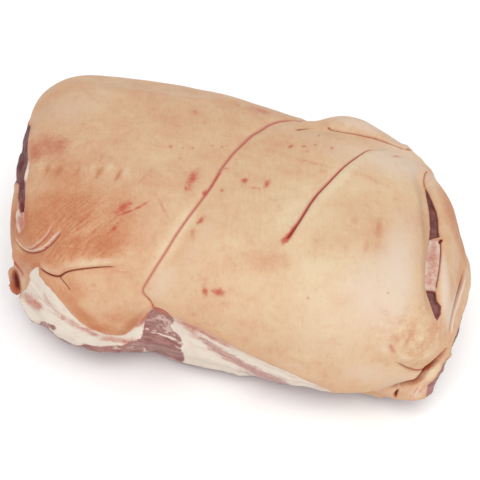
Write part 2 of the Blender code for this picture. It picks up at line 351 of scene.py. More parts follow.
LEAN_LOW = [
    (426, 289.5), (435.4, 290.8), (437.3, 301), (441.8, 306.5), (441.4, 314.5), (438.4, 322),
    (435.6, 318), (431.1, 305.6), (427.8, 296),
]
LEFT_PINK_FAT = [
    (17, 210.5), (23.8, 213.4), (24.6, 226), (19.5, 233.5), (16.2, 226), (15.8, 214),
]
LEAN_CORNER = [
    (427.4, 384.4), (434, 380), (437.6, 374), (441.8, 367), (446.4, 358), (457, 356), (450, 385),
    (432, 404), (423, 402), (426.4, 395), (427, 389),
]
LEAN_CHIP = [
    (39.6, 322), (44, 322.6), (50, 325.2), (55.4, 328), (55, 330.8), (49, 330), (42, 327.2), (39, 325),
]
LEFT_LEAN = [
    (30.8, 126.5), (29.3, 134), (28.4, 142), (27.5, 150), (27.6, 156), (28.3, 159), (27, 166),
    (25, 173), (23.8, 179), (25.3, 184), (25, 192), (24.9, 198), (24, 212), (20, 213), (17.8, 208),
    (17.4, 196), (18.4, 187), (17.5, 183.5), (0, 182), (0, 124), (29, 124),
]
# How much of the left cut's outline, from its start, lies on the joint and not beside it
LEFT_LEAN_ON_SKIN = 13
# A sliver of fat in the cut face of the left end
LEFT_SLIVER = [
    (28.5, 159.5), (26.7, 166), (24.6, 173), (24, 177.5), (25.4, 184), (27.6, 178.7), (29, 170),
    (29, 162),
]
# Cut faces of meat at both ends, as outlines of (y, z) in millimetres
LEFT_CUT = [
    (60, 68), (48, 75), (36, 79), (25, 84), (16, 90), (8, 95), (-5, 99), (-14, 100), (-21, 101),
    (-33, 103), (-43, 103), (-48, 101), (-56, 100), (-63, 97), (-64, 93), (-54, 91), (-44, 90),
    (-34, 88), (-26, 85), (-20, 80), (-10, 70), (2, 60), (20, 52), (38, 52), (54, 58),
]
RIGHT_CUT = [
    (-60, 46), (-52, 50), (-40, 52), (-28, 51), (-16, 46), (-8, 40), (-14, 34), (-30, 31), (-46, 31),
    (-58, 36), (-62, 41),
]

# White fat within the lean, as lines of pixels with a half width
FAT_SEAMS = (
    ([(151, 334), (160, 335.5), (169.6, 339.2), (177, 342.4), (185, 346.4)], 0.45),
    ([(146, 329.4), (148.6, 330.4)], 0.8),
    ([(170, 344.6), (175, 346.8), (179, 349)], 0.5),
)
# The stripe of lean in the long fat band, as a line of pixels, and its half width at both ends
LEAN_STRIPE = [
    (199, 338.6), (205, 343), (218, 352.2), (230.5, 359.2), (243, 367), (257, 374.3), (268, 380.5),
    (281, 386),
]
STRIPE_WIDTHS = (2.0, 5.0)

# Red scuffs and small marks: pixel, half length and half width in pixels, turn in degrees, strength
MARKS = (
    (124, 207, 7, 4, -35, 0.95), (130, 203.6, 3, 2, 20, 0.8), (117, 212, 4, 2.6, -40, 0.4),
    (124, 213, 7, 1.5, -22, 0.8), (129, 211.3, 4.4, 1.6, -22, 1.0), (137.4, 207.6, 6, 1.4, -27, 0.9),
    (145, 203.6, 5, 1.2, -30, 0.65), (114, 228.4, 4.4, 2.6, -50, 1.0), (109.4, 232.4, 4.4, 1, -30, 0.8),
    (117.6, 223.4, 3, 2.2, -40, 0.6), (136, 221.8, 1.6, 1.5, 0, 0.4), (154, 236, 2, 4, 0, 0.25),
    (163, 208, 8, 1.2, 62, 0.4), (192.5, 178, 9, 4.6, -60, 0.75), (190, 187, 7, 2.4, -50, 0.4),
    (150, 172, 4, 1.6, -60, 0.2), (186, 189, 2, 3.4, 0, 0.55), (189, 186, 2, 2, 0, 0.5),
    (205, 192.5, 3.4, 2.6, -40, 1.0), (200.3, 220.6, 5.6, 2.4, -45, 0.85),
    (244.8, 180.8, 3.6, 2.8, -25, 1.0), (266.8, 184, 5, 2.8, -55, 1.0), (254, 188, 4, 1, 0, 0.6),
    (259, 188.5, 1.6, 1, 0, 0.5), (242, 186, 0.9, 0.9, 0, 0.6), (205, 291.5, 2.8, 5.6, -18, 0.85),
    (219, 292.6, 6, 4.8, 8, 1.0), (213, 291, 2, 1.6, 0, 0.6), (192.5, 234.5, 2.4, 4.6, 0, 0.3),
    (308, 298, 1.5, 1.5, 0, 0.6), (388, 293, 1.2, 1.2, 0, 0.6), (171, 146.5, 1.4, 1.4, 0, 0.7),
    (183, 147.5, 1.2, 1.2, 0, 0.6), (193, 148, 1.2, 1.2, 0, 0.6), (180, 158, 1.3, 1.3, 0, 0.5),
    (212, 146, 1.4, 1, 0, 0.6), (222, 147, 1.2, 1.1, 0, 0.6), (227, 146, 1.2, 1.1, 0, 0.6),
    (195, 113, 3, 3.2, 20, 0.5), (237, 105, 4, 1.2, 20, 0.6), (262, 111, 9, 2.4, 16, 0.45),
    (222, 190.4, 2, 2, 0, 0.8), (226, 168.4, 3, 2.2, 0, 0.55), (290.5, 146.8, 2.8, 1.3, -25, 0.95),
    (304, 146.2, 2.2, 1.1, 0, 0.85), (315, 145, 1.5, 1, 0, 0.6), (332, 148, 1.8, 1.3, 0, 0.6),
    (307.5, 151.2, 2, 1.1, 0, 0.6), (319, 135.5, 1.2, 1, 0, 0.8), (328.5, 127.8, 1.4, 1.2, 0, 1.0),
    (376.4, 137.7, 1.3, 1.2, 0, 0.9), (408.5, 149.5, 3.4, 1.2, 8, 1.0), (402, 147.5, 3, 0.8, 20, 0.6),
    (286.6, 238.2, 7, 3.6, -48, 1.5), (396, 156.5, 5, 0.9, 3, 0.4), (395.6, 395, 1.8, 2.6, 10, 1.3),
    (89, 216, 4, 1.2, -50, 0.55), (81, 222, 4, 1, -50, 0.45), (94, 205, 5, 1, -50, 0.4),
    (101, 158.7, 4, 0.7, -60, 0.3), (122, 272, 6, 1, 8, 0.45), (94, 285, 2.4, 1.6, 0, 0.4),
    (28.5, 296.6, 2.4, 1, 40, 0.4), (34, 303.5, 4, 1.2, 40, 0.5), (38.6, 308.5, 3, 2.4, 0, 0.45),
    (24, 296.5, 2, 0.9, 30, 0.3), (416.6, 388.4, 1, 1.6, 20, 0.8), (414.6, 391.6, 0.9, 3, 30, 0.8),
    (420, 391.5, 0.7, 4, 35, 0.6), (411, 396, 1.6, 1, 0, 0.5), (423.4, 388, 0.7, 3, 20, 0.5),
    (18.2, 267.4, 9.5, 1.3, 53, 2.2), (22, 276, 1.4, 2.4, 0, 0.5), (21.2, 225, 1, 2.6, 0, 0.8),
    (433, 290.5, 4, 0.8, 8, 0.5), (45.6, 247.2, 1.6, 1, -30, 0.7), (58.2, 235.2, 3.4, 0.9, -50, 0.8),
    (164, 313, 6, 1.5, 28, 0.9), (156, 309.6, 3.4, 1.6, 20, 1.0), (172, 317.6, 5, 1.3, 36, 0.7),
    (147, 314.6, 5, 0.9, -48, 0.6), (158, 312.6, 4, 1.2, 25, 0.7), (163, 316, 3.4, 1, 20, 0.5),
    (141, 321, 6, 1, -50, 0.5), (136, 327, 5, 0.9, -48, 0.35), (180, 321, 6, 1.2, 30, 0.35),
    (154.5, 317, 2.4, 1.4, -60, 0.4), (148.5, 299.2, 6, 1, 55, 0.75), (152.6, 306, 1.8, 1.3, 60, 1.0),
    (215, 181, 13, 1.4, -57, 0.8), (291, 232, 9, 2, -57, 1.2), (193, 314.5, 2.5, 1, -10, 0.35),
    (317, 163.5, 19, 1.0, 15, 0.3), (371, 179, 14, 0.9, 25, 0.2),
)


def near_routes(points, routes, reach):
    """Which points lie within reach of any of the routes."""
    near = np.zeros(len(points), bool)
    for route in routes:
        low, high = route.min(0) - reach, route.max(0) + reach
        close = np.flatnonzero(np.all((points > low) & (points < high), axis=1))
        near[close] |= to_route(points[close], route)[0] < reach
    return near


def refine(routes, reach):
    """Cuts the faces near the routes into four."""
    points = survey()[0]
    near = near_routes(points, routes, reach)
    corners = np.empty(len(joint.data.loops), np.int32)
    joint.data.loops.foreach_get("vertex_index", corners)
    starts = np.empty(len(joint.data.polygons), np.int32)
    joint.data.polygons.foreach_get("loop_start", starts)
    chosen = np.add.reduceat(near[corners].astype(int), starts) > 0
    bpy.ops.object.mode_set(mode="EDIT")
    bpy.ops.mesh.select_mode(type="FACE")
    bpy.ops.mesh.select_all(action="DESELECT")
    bpy.ops.object.mode_set(mode="OBJECT")
    joint.data.polygons.foreach_set("select", chosen)
    bpy.ops.object.mode_set(mode="EDIT")
    bpy.ops.mesh.subdivide(number_cuts=1)
    bpy.ops.mesh.select_all(action="DESELECT")
    bpy.ops.object.mode_set(mode="OBJECT")


# The skin gets twice as fine near every line, edge and mark, and twice as fine again close by
FINE_REACHES = (3.6 * MM, 1.5 * MM)
fine = [skin_line(outline + outline[:1]) for outline in (LEAN_LEAF, PINK_FAT, LEAN_LOW, LEFT_SLIVER)]
fine.append(skin_line(LEFT_LEAN[:LEFT_LEAN_ON_SKIN]))
fine += [skin_line(route) for route, _ in FAT_SEAMS]
MARK_SPINE = 0.7
for x, y, half_long, _, turn, _ in MARKS:
    spine = half_long * MARK_SPINE
    tip = (spine * math.cos(math.radians(turn)), spine * math.sin(math.radians(turn)))
    fine.append(np.array([on_skin((x - tip[0], y - tip[1])), on_skin((x + tip[0], y + tip[1]))]))
for reach in FINE_REACHES:
    refine(list(STROKES) + fine, reach)
apply_modifier("SMOOTH", factor=0.5, iterations=2)
skin, normals, seen, facing = survey()


def spread(values, times):
    """Averages each point's values with its neighbours', some times over."""
    edges = np.empty(len(joint.data.edges) * 2, np.int32)
    joint.data.edges.foreach_get("vertices", edges)
    first, second = edges.reshape(-1, 2).T
    count = np.bincount(edges, minlength=len(values))[:, None] + 1
    for _ in range(times):
        total = values.copy()
        for column in range(values.shape[1]):
            total[:, column] += np.bincount(first, values[second, column], len(values))
            total[:, column] += np.bincount(second, values[first, column], len(values))
        values = total / count
    return values


# The skin is pressed and lifted along smoothed normals, so that its own bumps don't tear it
NORMAL_SMOOTHING = 12
FACING_SMOOTHING = 8
BARELY_HIDDEN = -0.15
normals = spread(normals, NORMAL_SMOOTHING)
normals /= np.linalg.norm(normals, axis=1)[:, None]
facing = spread(facing[:, None], FACING_SMOOTHING)[:, 0]
shows = facing > BARELY_HIDDEN

LINE_REACH = 12 * MM
INK_REACH = 4 * MM
lift = np.zeros(len(skin))
line_across = np.full(len(skin), INK_REACH)
line_width = np.full(len(skin), 1 * MM)
line_dark = np.zeros(len(skin))
line_red = np.zeros(len(skin))
line_blush = np.zeros(len(skin))
lip_white_and_highlight = np.zeros(len(skin))


def press(line, groove, ink, valley=(0, 1), lip=(0, 1, 0), swell=(1, 1), run_out=(0.08, 0.08), pale=0):
    """Presses a line into the skin.

    groove, valley and lip are depths or heights with half widths, all in millimetres, and the lip's
    third number is the side that it is on. ink is the half width of the line's coloured bottom in
    millimetres, how dark and how red it is, and how strong the blush beside it is; the darkness is
    partly painted shade in the bottoms of folds. swell is the line's strength at its start and end,
    run_out is the share of its length over which it fades in and out, and pale is how white its lip
    is, partly a painted highlight where a raised lip catches light.
    """
    low, high = line.min(0) - LINE_REACH, line.max(0) + LINE_REACH
    close = np.flatnonzero(np.all((skin > low) & (skin < high), axis=1))
    nearest, stretch, share = to_route(skin[close], line)
    run = line[stretch + 1] - line[stretch]
    offset = skin[close] - line[stretch] - share[:, None] * run
    side = np.where(np.einsum("ij,ij->i", np.cross(run, offset), normals[close]) > 0, 1, -1)
    along = (stretch + share) / (len(line) - 1)
    strength = swell[0] + (swell[1] - swell[0]) * along
    strength = strength * ramp(along, 0, run_out[0]) * ramp(1 - along, 0, run_out[1])
    lift[close] -= groove[0] * MM * hump(nearest / (groove[1] * MM)) * strength
    lift[close] -= valley[0] * MM * hump(nearest / (valley[1] * MM)) * strength
    on_lip = hump((nearest - lip[1] * MM) / (lip[1] * MM)) * (side == lip[2]) * strength
    lift[close] += lip[0] * MM * on_lip
    # A raised lip is painted pale, partly as a painted highlight
    lip_white_and_highlight[close] = np.maximum(lip_white_and_highlight[close], pale * on_lip)
    closer = nearest < np.abs(line_across[close])
    which = close[closer]
    fade = hump(nearest / INK_REACH)
    line_across[which] = (nearest * side)[closer]
    line_width[which] = (ink[0] * MM * np.maximum(strength, 0.3))[closer]
    line_dark[which] = (ink[1] * np.minimum(strength, 1) * fade)[closer]
    line_red[which] = ink[2]
    line_blush[which] = (ink[3] * np.minimum(strength, 1) * fade)[closer]


press(MAIN_CREASE, groove=(0.5, 1.5), valley=(0.4, 6), lip=(0.25, 4, -1), ink=(0.75, 0.38, 0.9, 0.95),
      swell=(1.2, 0.8), run_out=(0.02, 0.01))
press(RIND_CUT, groove=(0.5, 1.2), ink=(0.8, 0.8, 1.0, 0.9), run_out=(0.02, 0.5))
press(KNIFE_SLIT, groove=(0.7, 1.1), ink=(0.62, 0.85, 1.0, 0.8), swell=(0.3, 2.2), lip=(0.4, 4, 1),
      run_out=(0.25, 0.08))
press(BACK_FOLD_START, groove=(0.6, 1.3), ink=(0.85, 0.8, 0.15, 0.7), swell=(1.2, 0.4),
      run_out=(0.05, 0.5))
press(BACK_FOLD, groove=(0.9, 1.2), valley=(0.5, 5), ink=(0.42, 0.65, 0.7, 0.6), run_out=(0.04, 0.1))
press(Y_CREASE, groove=(0.9, 0.9), lip=(0.5, 3.2, 1), ink=(0.42, 1.0, 0.4, 0.7), swell=(1.9, 0.8),
      pale=0.1, run_out=(0.06, 0.06))
press(Y_BRANCH, groove=(0.6, 0.9), ink=(0.40, 0.85, 0.3, 0.6), run_out=(0.02, 0.2))
press(CHIN_CRESCENT, groove=(0.5, 1.1), lip=(0.3, 1.1, 1), ink=(0.38, 0.55, 0.8, 0.6), pale=0.35,
      run_out=(0.2, 0.3))
press(CHIN_FOLD, groove=(1.0, 1.0), valley=(0.5, 4), lip=(0.5, 1.3, 1), ink=(0.42, 0.8, 0.8, 0.6),
      pale=0.65, run_out=(0.1, 0.2))
# The corner fold's dark core is painted shade
press(CORNER_FOLD, groove=(3.0, 2.2), lip=(0.7, 3.6, 1), ink=(0.75, 1.0, 0.4, 1.0), pale=0.1,
      run_out=(0.2, 0.2))
press(CORNER_WRINKLE, groove=(0.9, 1.2), valley=(0.3, 4), ink=(0.5, 0.4, 0.5, 0.9), run_out=(0.02, 0.3))
press(CORNER_DENT, groove=(0.5, 1.6), ink=(0.7, 0.05, 0.6, 0.7), run_out=(0.3, 0.3))
press(CORNER_SLIT, groove=(2.2, 1.3), ink=(0.9, 1.0, 0.4, 0.6), run_out=(0.02, 0.4))
press(OUTER_FOLD, groove=(1.7, 1.4), lip=(0.7, 1.8, 1), ink=(0.6, 0.7, 0.6, 0.7), run_out=(0.3, 0.1),
      pale=0.7)
press(LEFT_FLAP_FOLD, groove=(0.3, 1.3), ink=(0.5, 0.3, 1.0, 0.3))
press(FLAP_SHADE, groove=(1.6, 1.6), ink=(1.2, 0.75, 0.7, 0.9), run_out=(0.1, 0.3))


def within(places, outline):
    """How far inside an outline each place lies, in the outline's unit; less than 0 outside."""
    ring = np.array(outline + outline[:1], float)
    inner = np.zeros(len(places), bool)
    for start, end in zip(ring, ring[1:]):
        crosses = (start[1] > places[:, 1]) != (end[1] > places[:, 1])
        slope = (end[0] - start[0]) / ((end[1] - start[1]) or 1e-9)
        inner ^= crosses & (places[:, 0] < start[0] + (places[:, 1] - start[1]) * slope)
    nearest = to_route(places, ring)[0]
    return np.where(inner, nearest, -nearest)


# A distance in metres that puts a hidden point well outside any outline
FAR_OUTSIDE = 0.1


def inside(outline):
    """How far inside an outline of pixels each skin point is, in metres; far outside if hidden."""
    return within(seen, outline) * METRES_PER_PIXEL - FAR_OUTSIDE * ramp(-facing, 0.15, 0.5)


def in_cut(outline, into_joint, deepest):
    """How far inside an end's cut face each skin point is, in metres; far outside past the deepest."""
    too_deep = ramp(into_joint, deepest, deepest + 10 * MM)
    return within(skin[:, 1:] / MM, outline) * MM - FAR_OUTSIDE * too_deep


# The open gap at the right end: lean at its top and bottom, and a round roll of pink fat between them
GAP_DEPTH = 1.6 * MM
ROLL_DEPTH = 1.0 * MM
ROLL_HEIGHT = 1.0 * MM
for gap in (LEAN_LEAF, LEAN_LOW):
    lift -= GAP_DEPTH * ramp(inside(gap), -0.5 * MM, 1.4 * MM)
in_pink_fat = inside(PINK_FAT)
lift -= ROLL_DEPTH * ramp(in_pink_fat, -0.6 * MM, 0.6 * MM)
lift += ROLL_HEIGHT * ramp(in_pink_fat, 0, 3 * MM)

# The cut faces lie a little lower than the rind round them. Each ends at a distance along the joint.
CUT_DEPTH = 1.0 * MM
LEFT_CUT_REACH = -105 * MM
RIGHT_CUT_REACH = 125 * MM
left_cut = in_cut(LEFT_CUT, skin[:, 0], LEFT_CUT_REACH)
left_cut = np.maximum(left_cut - FAR_OUTSIDE * ramp(facing, -0.05, 0.1), inside(LEFT_LEAN))
right_cut = in_cut(RIGHT_CUT, -skin[:, 0], -RIGHT_CUT_REACH)
for cut in (left_cut, right_cut):
    lift -= CUT_DEPTH * ramp(cut, -0.5 * MM, 1.5 * MM)
press(TIP_FOLD, groove=(0.5, 1.2), lip=(0.4, 2, -1), ink=(0.4, 0.5, 0.6, 0.7), pale=0.15)
press(ROLL_EDGE, groove=(1.2, 0.9), ink=(0.42, 0.95, 0.8, 0.4), run_out=(0.02, 0.1))


# The rind ends in a lower edge, and fat and lean meat show under it. In front, bare flesh is where the
# photograph shows it. On the hidden sides the edge goes on at like heights all round, given as a
# heading in degrees and a height in metres.
BARE = [
    (38.5, 267), (39, 276), (46, 285.5), (52.5, 291.7), (61, 302), (71.3, 314), (79.8, 322.5),
    (91.8, 330), (105.5, 334.6), (115.8, 336), (124.3, 336), (131, 331), (139.7, 322.5), (146.6, 315.2),
    (153, 307.8), (158, 309), (166, 312.3), (173, 316.3), (180, 319.6), (203, 330.6), (222, 340.7),
    (243, 352), (274.7, 366.9), (295.8, 375.4), (314.7, 383.8), (331, 391.2), (331, 420), (0, 420),
    (0, 300), (19, 298), (21, 293), (26.5, 289), (29.5, 281), (29, 274), (30.5, 272), (36, 267),
]
RIND_EDGE_HEIGHTS = (
    (-180, 0.050), (-155, 0.060), (-141, 0.074), (-137, 0.080), (-131, 0.066), (-124, 0.048),
    (-117, 0.041), (-111, 0.053), (-106, 0.066), (-97, 0.061), (-82, 0.052), (-66, 0.043),
    (-56, 0.035), (-45, 0.024), (-30, 0.031), (-5, 0.037), (25, 0.027), (55, 0.034), (85, 0.024),
    (118, 0.036), (145, 0.031), (165, 0.044), (180, 0.050),
)
headings, heights = zip(*RIND_EDGE_HEIGHTS)
heading = np.degrees(np.arctan2(skin[:, 1], skin[:, 0]))
above_edge = skin[:, 2] - np.interp(heading, headings, heights)
in_view = ramp(facing, -0.10, 0.12)
rind = above_edge + (-inside(BARE) - above_edge) * in_view


def lumps(size):
    """Soft lumps of a given size all over the skin, from -1 to 1."""
    return np.array([noise.noise(Vector(point)) for point in skin / size])


FAT_DEPTH = 15 * MM
broad_lumps, small_lumps = lumps(22 * MM), lumps(7 * MM)
lean = np.full(len(skin), -FAR_OUTSIDE)
for outline in (LEAN_NOTCH, LEAN_BAND, LEAN_LEAF, LEAN_LOW, LEAN_CORNER, LEAN_CHIP):
    lean = np.maximum(lean, inside(outline))
for outline in (LEAN_LEAF, LEAN_LOW, PINK_FAT, LEFT_PINK_FAT, LEAN_CORNER, LEFT_SLIVER):
    rind = np.minimum(rind, -inside(outline))
# Lean is painted darker in the gap as painted shade, is darker in the cut faces, and is paler in the
# stripe
GAP_PAINTED_SHADE = 0.65
deep_lean = np.zeros(len(skin))
for gap in (LEAN_LEAF, LEAN_LOW):
    deep_lean = np.maximum(deep_lean, GAP_PAINTED_SHADE * ramp(inside(gap), -2 * MM, -1 * MM))
away, stretch, share = to_route(seen, smooth_line(LEAN_STRIPE, 2))
along = (stretch + share) / (2 * len(LEAN_STRIPE) - 2)
half_width = STRIPE_WIDTHS[0] + (STRIPE_WIDTHS[1] - STRIPE_WIDTHS[0]) * along
stripe = np.where(shows, (half_width - away) * METRES_PER_PIXEL, -FAR_OUTSIDE)
lean = np.maximum(lean, stripe)
for route, half_width in FAT_SEAMS:
    away = to_route(seen, smooth_line(route, 2))[0]
    lean = np.where(shows, np.minimum(lean, (away - half_width) * METRES_PER_PIXEL), lean)
hidden_lean = -above_edge - FAT_DEPTH * (1 + 0.6 * broad_lumps)
lean = lean * in_view + hidden_lean * (1 - in_view)
rim = ramp(-facing, 0.05, 0.3)
for cut in (left_cut, right_cut):
    cut = cut + 1.2 * MM * broad_lumps * rim
    lean = np.maximum(lean, cut)
    rind = np.minimum(rind, -cut - 3.5 * MM * rim)
    deep_lean = np.maximum(deep_lean, ramp(cut, -2 * MM, -1 * MM) * (1 - 0.8 * rim))
deep_lean -= ramp(stripe, -3 * MM, -1 * MM)
lean = np.minimum(lean, -inside(LEFT_SLIVER))

# Bare flesh is lumpy and lies a little lower than the rind's cut edge, and the rind itself is uneven
RIND_THICKNESS = 1.0 * MM
FLESH_LUMPS = 0.8 * MM
FLESH_GRAIN = 0.35 * MM
RIND_WAVES = 0.5 * MM
RIND_LUMPS = 0.15 * MM
bare = ramp(-rind, 0, 1.5 * MM)
lift -= RIND_THICKNESS * bare
lift += bare * (FLESH_LUMPS * small_lumps + FLESH_GRAIN * lumps(3 * MM))
lift += (1 - bare) * (RIND_WAVES * broad_lumps + RIND_LUMPS * small_lumps)

# Soft dents, ridges and puckers in the rind: pixel, half length, half width, turn, height in mm
PUCKERS = (
    (41.6, 166, 5, 4, -80, 0.8), (47.4, 169, 5.5, 2, -75, -0.9), (51.7, 169, 4.5, 1.8, -72, 0.8),
    (59, 170.5, 9, 2.4, -62, -0.7), (67.7, 168, 5, 3, -60, 0.5), (77.8, 171.7, 6, 2.2, -60, -0.7),
    (83.6, 169, 5, 3, -60, 0.5), (92.3, 168, 6, 2.8, -60, 0.8), (99.6, 171.7, 7, 2.2, -62, -1.1),
    (110, 167.5, 6, 3.6, -60, 0.8), (118.4, 174.6, 7, 2.4, -58, -1.2), (127, 172, 5, 3, -60, 0.5),
    (142, 180, 5, 2, -55, -0.5), (36, 230, 14, 9, 60, 0.3), (84, 300, 26, 14, 30, 0.3),
    (409.5, 338, 9, 2.2, -62, -0.9), (402.5, 341, 8, 3, -65, 0.6), (417, 343, 10, 3.4, -60, 0.7),
    (396.5, 338, 5, 2.4, 62, -0.5), (399.5, 352, 6, 2.8, 60, 0.7), (384, 350, 9, 4.5, 65, 0.6),
    (429, 352, 13, 5, -50, 0.8), (408, 359, 10, 3, 15, 0.6), (413, 350, 6, 1.8, -50, -0.6),
    (422, 344, 6, 1.8, -48, -0.5), (433, 340, 6, 2, -60, -0.4), (397, 316, 12, 3, -70, 0.4),
    (406, 312, 10, 2.4, -72, -0.5),
)
pucker = np.zeros(len(skin))


def oval(x, y, half_long, half_wide, turn):
    """How far each skin point is seen from a pixel, in half lengths of an oval round it."""
    turn = math.radians(turn)
    offset = seen - (x, y)
    long_way = (offset[:, 0] * math.cos(turn) + offset[:, 1] * math.sin(turn)) / half_long
    wide_way = (offset[:, 1] * math.cos(turn) - offset[:, 0] * math.sin(turn)) / half_wide
    return np.hypot(long_way, wide_way)


# Soft edges reach out to this many half lengths of their oval
PUCKER_SPREAD = 1.5
MARK_SPREAD = 1.3
WASH_SPREAD = 1.6
in_sight = ramp(facing, -0.25, 0.05)
for x, y, half_long, half_wide, turn, height in PUCKERS:
    pucker += height * MM * hump(oval(x, y, half_long, half_wide, turn) / PUCKER_SPREAD) * in_sight
lift += pucker


# Where each colour is laid on in soft ovals: pixel, half length, half width, turn and strength. Tan,
# blush, pale, milky, wrinkled and blotched are for the rind, pink for the fat, marbled for the lean,
# and painted shade for the bottoms of folds, the left flap's inner side and a small hole.
TAN_AREAS = (
    (58, 238, 62, 48, 0, 0.75), (62, 192, 36, 30, -30, 0.35), (115, 238, 26, 16, -20, 0.45),
    (95, 205, 56, 40, 0, 0.35), (88, 312, 52, 22, 28, 0.32), (112, 322, 34, 9, 6, 0.25),
    (70, 300, 36, 5, 44, 0.4), (457, 220, 46, 9, 68, 1.1), (379, 230, 3, 12, 4, 0.55),
    (366, 246, 3, 8, 10, 0.5), (354, 221, 5, 4, 0, 0.6), (72, 305, 14, 4, 48, 0.4),
    (86, 318, 14, 4.5, 38, 0.5), (106, 329, 16, 4, 8, 0.6), (131, 324, 14, 4, -45, 0.6),
    (100, 268, 50, 14, 0, 0.2), (400, 206, 14, 14, 0, 0.1), (408, 388, 24, 9, 0, 0.55),
    (30, 228, 16, 16, 0, 0.9), (24, 262, 12, 8, 20, 0.6), (60, 110, 60, 22, -15, 0.25),
    (55, 165, 28, 18, 0, 0.45), (80, 246, 44, 12, 0, 0.45), (40, 258, 20, 8, 10, 0.4),
    (129, 314, 20, 12, -30, 0.4), (76, 292, 16, 9, 40, 0.5), (150, 118, 60, 10, 5, 0.3),
    (128, 205, 12, 16, 0, 0.3), (262, 112, 30, 9, 16, 0.3), (50, 212, 24, 18, 0, 0.2),
    (408, 325, 26, 22, 60, 0.25), (342, 300, 22, 14, 0, 0.6), (380, 250, 16, 9, 0, 0.5),
    (374, 232, 16, 18, 0, 0.5), (365, 208, 24, 12, 0, 0.3), (462, 262, 7, 34, 0, 0.5),
    (14, 290, 6, 12, 0, 1.5), (264, 260, 40, 15, 0, 0.65), (195, 135, 60, 22, 10, 0.15),
    (440, 366, 14, 4, -50, 0.3), (12, 225, 4, 40, 0, 0.5),
)
BLUSH_AREAS = (
    (46, 145, 18, 12, -14, 1.05), (92, 142, 46, 18, -8, 0.15), (62, 149, 7, 12, 35, 0.5),
    (34, 155, 5, 9, 0, 0.8), (123, 210, 20, 12, -20, 0.3), (193, 180, 12, 12, 0, 0.25),
    (438, 330, 6, 8, 0, 0.6), (262, 111, 20, 6, 15, 0.15), (92, 97, 14, 1.6, 42, 0.6),
    (112, 240, 22, 8, -40, 0.3), (350, 124, 24, 6, 10, 0.25), (430, 172, 3, 12, 15, 0.4),
    (418, 391, 9, 6, -20, 0.45), (60, 170, 14, 10, 0, 0.3),
)
# Pale is partly the rind's cream tone and partly a painted highlight on lips beside the creases
PALE_AND_HIGHLIGHT_AREAS = (
    (325, 285, 90, 60, 10, 0.5), (240, 210, 50, 36, -55, 0.15), (177, 233, 44, 8, -57, 0.4),
    (375, 185, 55, 30, 10, 0.4), (384, 375, 40, 12, 5, 0.1), (300, 205, 34, 26, -50, 0.4),
    (150, 160, 40, 16, 0, 0.2), (240, 320, 30, 18, 20, 0.2), (370, 152, 26, 9, 20, 0.3),
    (95, 262, 26, 4, -3, 0.6), (340, 178, 30, 5, -45, 0.5), (434, 372, 4, 14, 50, 0.6),
)
MILKY_AREAS = (
    (18, 261, 10, 2, 56, 0.25), (374, 280, 30, 40, 0, 0.6), (350, 155, 60, 12, 20, 0.4),
    (205, 232, 40, 9, -57, 0.3), (445, 288, 5, 36, -3, 1.2), (433, 184, 6, 12, 10, 0.4),
    (402, 262, 18, 54, 0, 0.8), (182, 286, 36, 22, -58, 0.25), (355, 123, 30, 7, 12, 0.9),
    (160, 283, 12, 20, 30, 0.5), (400, 158, 34, 18, 30, 0.8), (406, 380, 24, 6, -20, 0.4),
    (72, 108, 36, 16, -15, 0.45), (104, 92, 16, 5, 20, 0.3), (455, 305, 4, 22, 15, 1.0),
    (300, 372, 40, 8, 20, 0.2), (345, 325, 66, 52, 0, 0.45), (418, 392, 10, 6, -20, 0.8),
    (372, 375, 30, 12, 5, 0.4),
)
WRINKLED_AREAS = ((72, 226, 46, 32, -30, 1.0), (90, 252, 40, 10, -8, 0.5))
BLOTCHED_AREAS = ((402, 326, 30, 26, 0, 1.0), (300, 360, 30, 10, 20, 0.4), (420, 350, 20, 14, -40, 0.6))
PINK_AREAS = (
    (62.5, 319, 3, 1.8, 35, 1.3), (72, 324, 7, 3.4, 32, 1.0), (84, 330, 8, 3.2, 22, 1.0),
    (93, 335.5, 5, 2.2, 10, 1.2), (112, 340.5, 16, 3.4, 9, 1.0), (131, 343, 10, 3, 8, 1.0),
    (48, 303, 12, 2.6, 50, 0.7), (35, 306, 7, 4.4, 35, 1.6), (27, 298, 8, 5, 40, 1.1),
    (40, 300, 9, 4, 45, 0.4), (56, 315, 7, 2, 45, 0.5), (140, 345.5, 4, 1.6, 0, 1.5),
    (193, 335, 11, 3.4, 38, 0.8), (186, 325, 18, 3.8, 27, 1.25), (142, 322.6, 12, 3, -50, 1.2),
    (228, 360, 30, 3, 31, 0.5), (433, 264, 6, 28, 0, 1.0), (428, 281, 4, 10, 0, 0.5),
    (159, 311, 9, 3, 28, 1.0), (148, 316, 9, 2, -50, 0.9), (212, 338.4, 24, 2.4, 28, 1.0),
    (235, 350, 40, 3, 26, 0.3), (418, 392, 11, 6, -35, 0.8), (21, 222, 5, 12, 0, 1.6),
    (300, 382, 26, 4, 20, 0.3),
)
MARBLED_AREAS = (
    (164, 323, 10, 5, 30, 1.3), (173, 334, 9, 6, 45, 1.0), (160, 328, 16, 12, 20, 0.35),
    (146, 330, 2.4, 1.4, 0, 1.0), (158, 315, 8, 4, 30, 0.5), (153, 332.5, 3, 1.6, 0, 0.9),
    (172, 338, 10, 5, 35, 0.5), (120, 349, 26, 3, 0, 0.9), (434, 216, 4, 12, 70, 0.3),
)
# Painted shade: the left flap's inner side, the corner fold, a small hole in the right gap and the lean
# under the rind's edge at the notch's top
PAINTED_SHADE_AREAS = (
    (17, 280, 10, 3, 80, 1.7), (13.5, 281, 12, 4, 80, 0.8), (14, 290, 7, 4, 60, 0.3),
    (438, 360, 13, 2.2, -47, 0.6), (429, 367.2, 8, 1.7, -48, 1.15), (418, 380.6, 9, 2.4, -25, 0.6),
    (440.6, 240.8, 1.4, 2.2, 80, 2.2), (161, 313.8, 12, 3, 30, 0.4),
)


